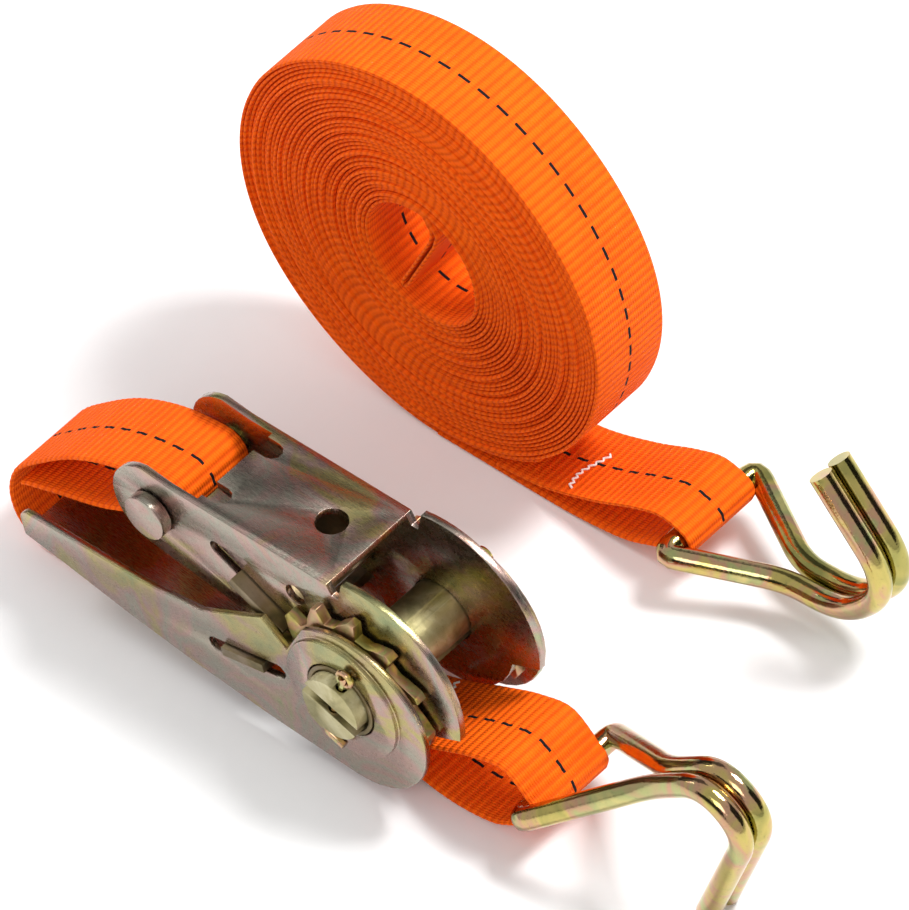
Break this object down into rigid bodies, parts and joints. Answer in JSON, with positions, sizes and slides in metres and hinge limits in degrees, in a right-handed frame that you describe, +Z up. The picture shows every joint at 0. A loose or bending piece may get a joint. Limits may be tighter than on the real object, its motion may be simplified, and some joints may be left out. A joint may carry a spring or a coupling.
{
  "type": "ratchet tie down",
  "caption": "Webbing tie down with a pressed steel ratchet buckle, a short sewn strap and a long rolled strap, each ending in a double wire hook.",
  "frame": {"origin": "underside of the short strap where it lies flat on the floor, 60 mm from the winding shaft, on the buckle's middle plane", "axes": "+X from the strap pin to the winding shaft, +Y across the strap towards the long strap, +Z up"},
  "size_m": [0.2314, 0.1344, 0.1222],
  "materials": {
    "webbing": "woven polyester, matte with a slight sheen",
    "passivated_sheet": "yellow passivated zinc, iridescent",
    "passivated_shaft": "yellow passivated zinc, scuffed",
    "passivated_wheel": "yellow passivated zinc on stamped edges",
    "dark_pawl": "dark passivated zinc",
    "spring_steel": "bright wire",
    "passivated_wire": "glossy yellow passivated zinc"
  },
  "bodies": {
    "handle": {"handle_frame": "passivated_sheet", "drive_pawl_spring": "spring_steel"},
    "frame": {"base_frame": "passivated_sheet", "strap_pin": "passivated_shaft", "strap_pin_ring": "spring_steel", "short_strap_pin_loop": "webbing", "lock_pawl_spring": "spring_steel"},
    "drive_pawl": {"drive_pawl": "dark_pawl"},
    "lock_pawl": {"lock_pawl": "dark_pawl"},
    "winding_shaft": {"winding_shaft_upper": "passivated_shaft", "winding_shaft_lower": "passivated_shaft", "ratchet_wheel_near": "passivated_wheel", "ratchet_wheel_far": "passivated_wheel", "hub_bush_near": "passivated_shaft", "hub_bush_far": "passivated_shaft", "split_pin_near": "spring_steel", "split_pin_far": "spring_steel"},
    "short_strap": {"short_strap_run": "webbing", "short_strap_hook_loop": "webbing"},
    "short_hook": {"short_strap_hook": "passivated_wire"},
    "long_strap": {"long_strap_roll": "webbing", "long_strap_tail": "webbing"},
    "long_hook": {"long_strap_hook": "passivated_wire"}
  },
  "joints": [
    {"name": "handle_swing", "type": "hinge", "parent": "handle", "child": "frame", "pos_m": [0.06, 0, 0.031], "axis": [0, 1, 0], "range_deg": [0, 150]},
    {"name": "drive_pawl_slide", "type": "slide", "parent": "handle", "child": "drive_pawl", "axis": [0.9781, 0, 0.2079], "range_m": [-0.003, 0.004], "stiffness_N_per_m": 300, "deforming": ["drive_pawl_spring"]},
    {"name": "lock_pawl_slide", "type": "slide", "parent": "frame", "child": "lock_pawl", "axis": [-0.891, 0, 0.454], "range_m": [0, 0.006], "stiffness_N_per_m": 300, "deforming": ["lock_pawl_spring"]},
    {"name": "winding_shaft_spin", "type": "hinge", "parent": "frame", "child": "winding_shaft", "pos_m": [0.06, 0, 0.031], "axis": [0, 1, 0], "continuous": true},
    {"name": "short_strap_unfold", "type": "hinge", "parent": "frame", "child": "short_strap", "pos_m": [-0.0575, 0, 0.009], "axis": [0, 1, 0], "range_deg": [0, 180], "deforming": ["short_strap_run", "short_strap_hook_loop"]},
    {"name": "short_hook_swing", "type": "hinge", "parent": "short_strap", "child": "short_hook", "pos_m": [0.108, 0.002, 0.014], "axis": [0, 1, 0], "range_deg": [-45, 30]},
    {"name": "long_strap_slide", "type": "slide", "parent": "handle", "child": "long_strap", "axis": [0, 1, 0], "range_m": [0, 0.1]},
    {"name": "long_hook_swing", "type": "hinge", "parent": "long_strap", "child": "long_hook", "pos_m": [0.0795, 0.0875, 0.0146], "axis": [0, 1, 0], "range_deg": [-45, 30]}
  ],
  "couplings": [
    {"joint": "short_strap_unfold", "follows": "handle_swing", "ratio": 1.2}
  ]
}
